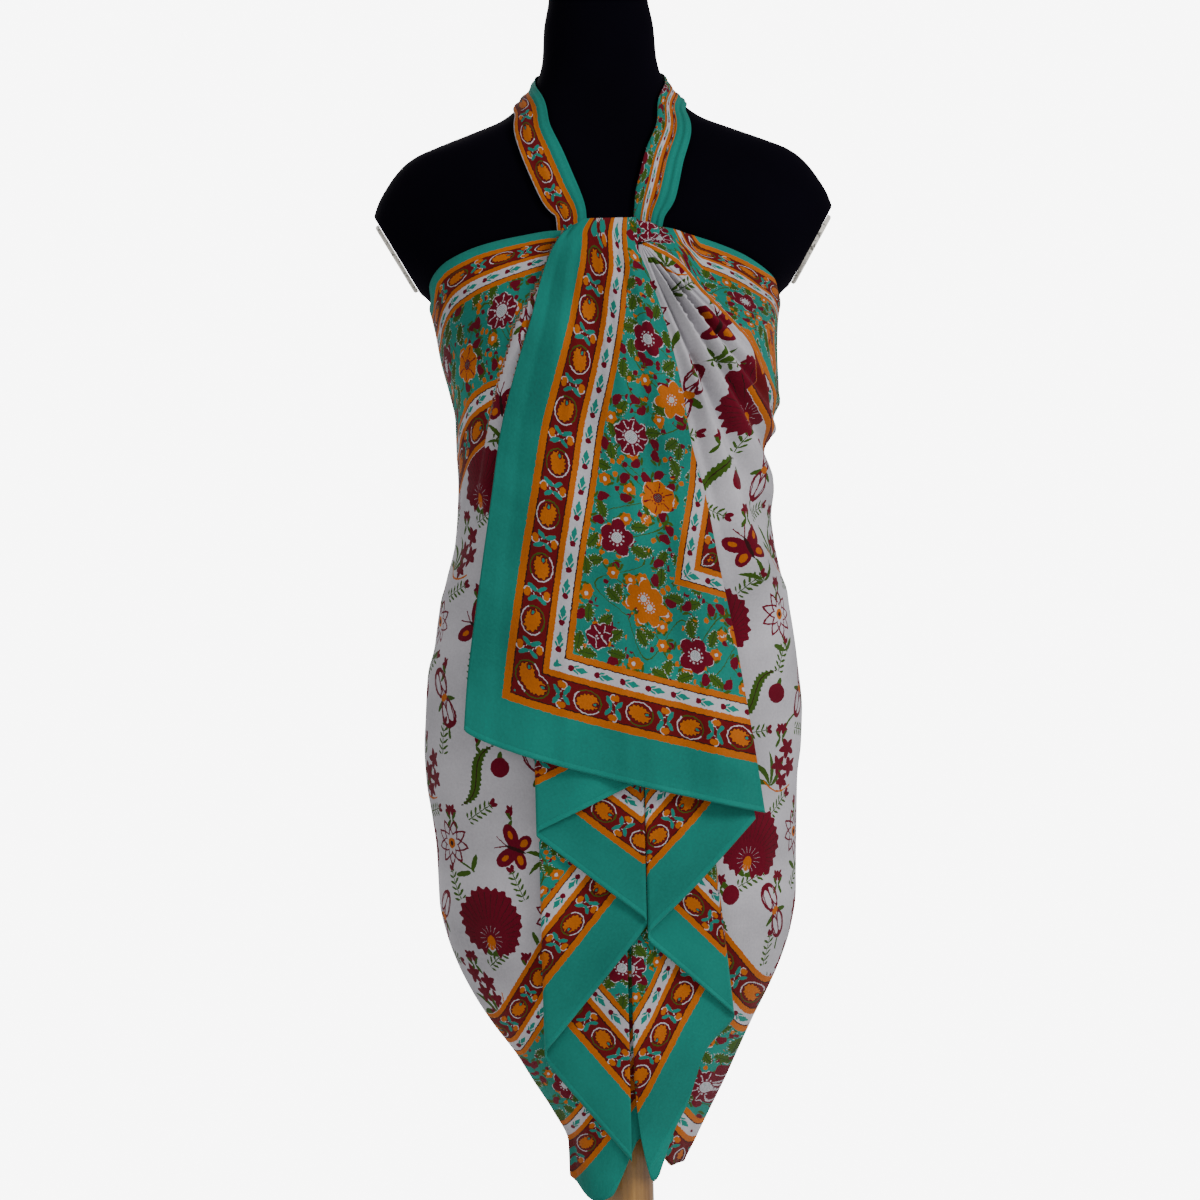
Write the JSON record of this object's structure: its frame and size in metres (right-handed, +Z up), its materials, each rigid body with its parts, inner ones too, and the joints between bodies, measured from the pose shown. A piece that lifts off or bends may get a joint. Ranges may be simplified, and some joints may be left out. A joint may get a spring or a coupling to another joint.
{
  "type": "sarong tied as a crossed halter, on a limbless dress form with a stand",
  "caption": "Block-printed cotton sarong wound round a dress form, its top corners tied behind the neck, with a front flap and layered falls, on a turned wooden stand.",
  "frame": {"origin": "middle of the underside of the stand's round base, on the surface it stands on", "axes": "+Z up along the pole and the neck, -Y towards the viewer in front of the garment, +X to the viewer's right"},
  "size_m": [0.4246, 0.37, 1.562],
  "materials": {
    "printed_cotton": "thin plain-weave cotton, matt, block printed in green, madder red, orange and white",
    "black_jersey": "matt black jersey cover with a short nap",
    "cream_plate": "pale speckled plate, satin",
    "golden_wood": "turned hardwood, golden brown, satin varnish"
  },
  "bodies": {
    "root": {"wrap": "printed_cotton", "front_flap": "printed_cotton", "left_fall": "printed_cotton", "right_fall": "printed_cotton", "gather": "printed_cotton", "strap_left": "printed_cotton", "strap_right": "printed_cotton", "nape_knot": "printed_cotton", "tail_left": "printed_cotton", "tail_right": "printed_cotton", "form_torso": "black_jersey", "arm_plate_left": "cream_plate", "arm_plate_right": "cream_plate", "stand_pole": "golden_wood", "stand_base": "golden_wood"}
  },
  "joints": []
}
